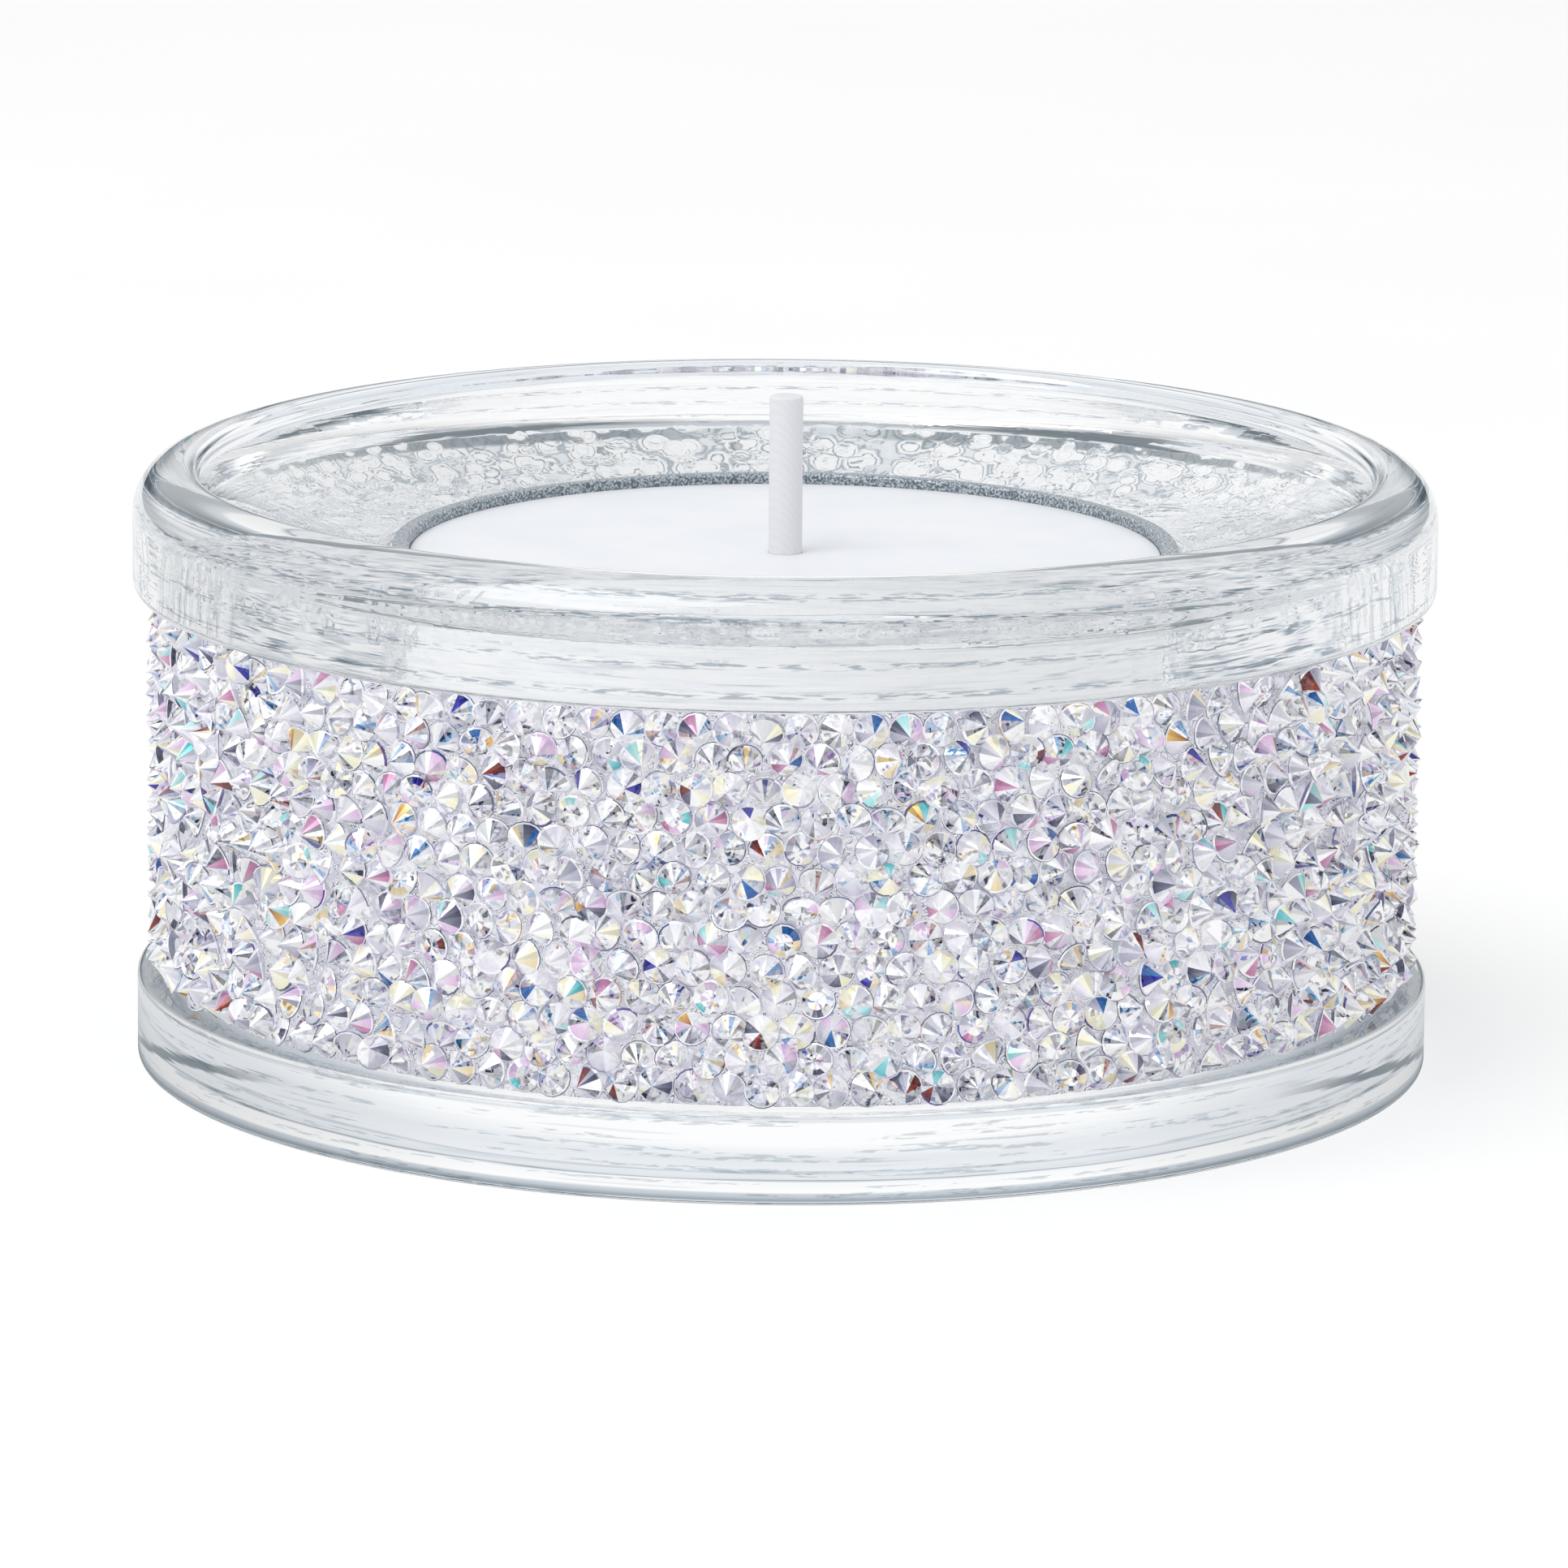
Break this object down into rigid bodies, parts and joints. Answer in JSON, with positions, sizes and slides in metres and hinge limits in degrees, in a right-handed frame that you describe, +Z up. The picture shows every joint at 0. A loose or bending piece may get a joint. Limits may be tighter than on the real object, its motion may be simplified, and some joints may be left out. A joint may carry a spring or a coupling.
{
  "type": "tealight holder",
  "caption": "Round solid clear glass tealight holder with a band of pointed coated stones round its side and a tealight in the well of its dish.",
  "frame": {"origin": "centre of the flat base, on the surface that the holder stands on", "axes": "+Z up along the holder's round axis, -Y towards the viewer of the picture; the strip's butt joint is at +Y, the back"},
  "size_m": [0.064, 0.064, 0.0328],
  "materials": {
    "clear_glass": "polished",
    "stone_glue": "satin",
    "coated_stone": "polished",
    "cup_aluminium": "satin",
    "white_wax": "satin",
    "waxed_cotton": "matte",
    "tinned_steel": "satin"
  },
  "bodies": {
    "holder": {"glass_body": "clear_glass", "carrier_strip": "stone_glue", "crystal_row_01": "coated_stone", "crystal_row_02": "coated_stone", "crystal_row_03": "coated_stone", "crystal_row_04": "coated_stone", "crystal_row_05": "coated_stone", "crystal_row_06": "coated_stone", "crystal_row_07": "coated_stone", "crystal_row_08": "coated_stone", "crystal_row_09": "coated_stone", "crystal_row_10": "coated_stone", "crystal_row_11": "coated_stone", "crystal_row_12": "coated_stone", "crystal_row_13": "coated_stone"},
    "tealight": {"tealight_cup": "cup_aluminium", "wax": "white_wax", "wick": "waxed_cotton", "wick_sustainer": "tinned_steel"}
  },
  "joints": [
    {"name": "tealight_lift", "type": "slide", "parent": "holder", "child": "tealight", "axis": [0, 0, 1], "range_m": [0, 0.025]}
  ]
}
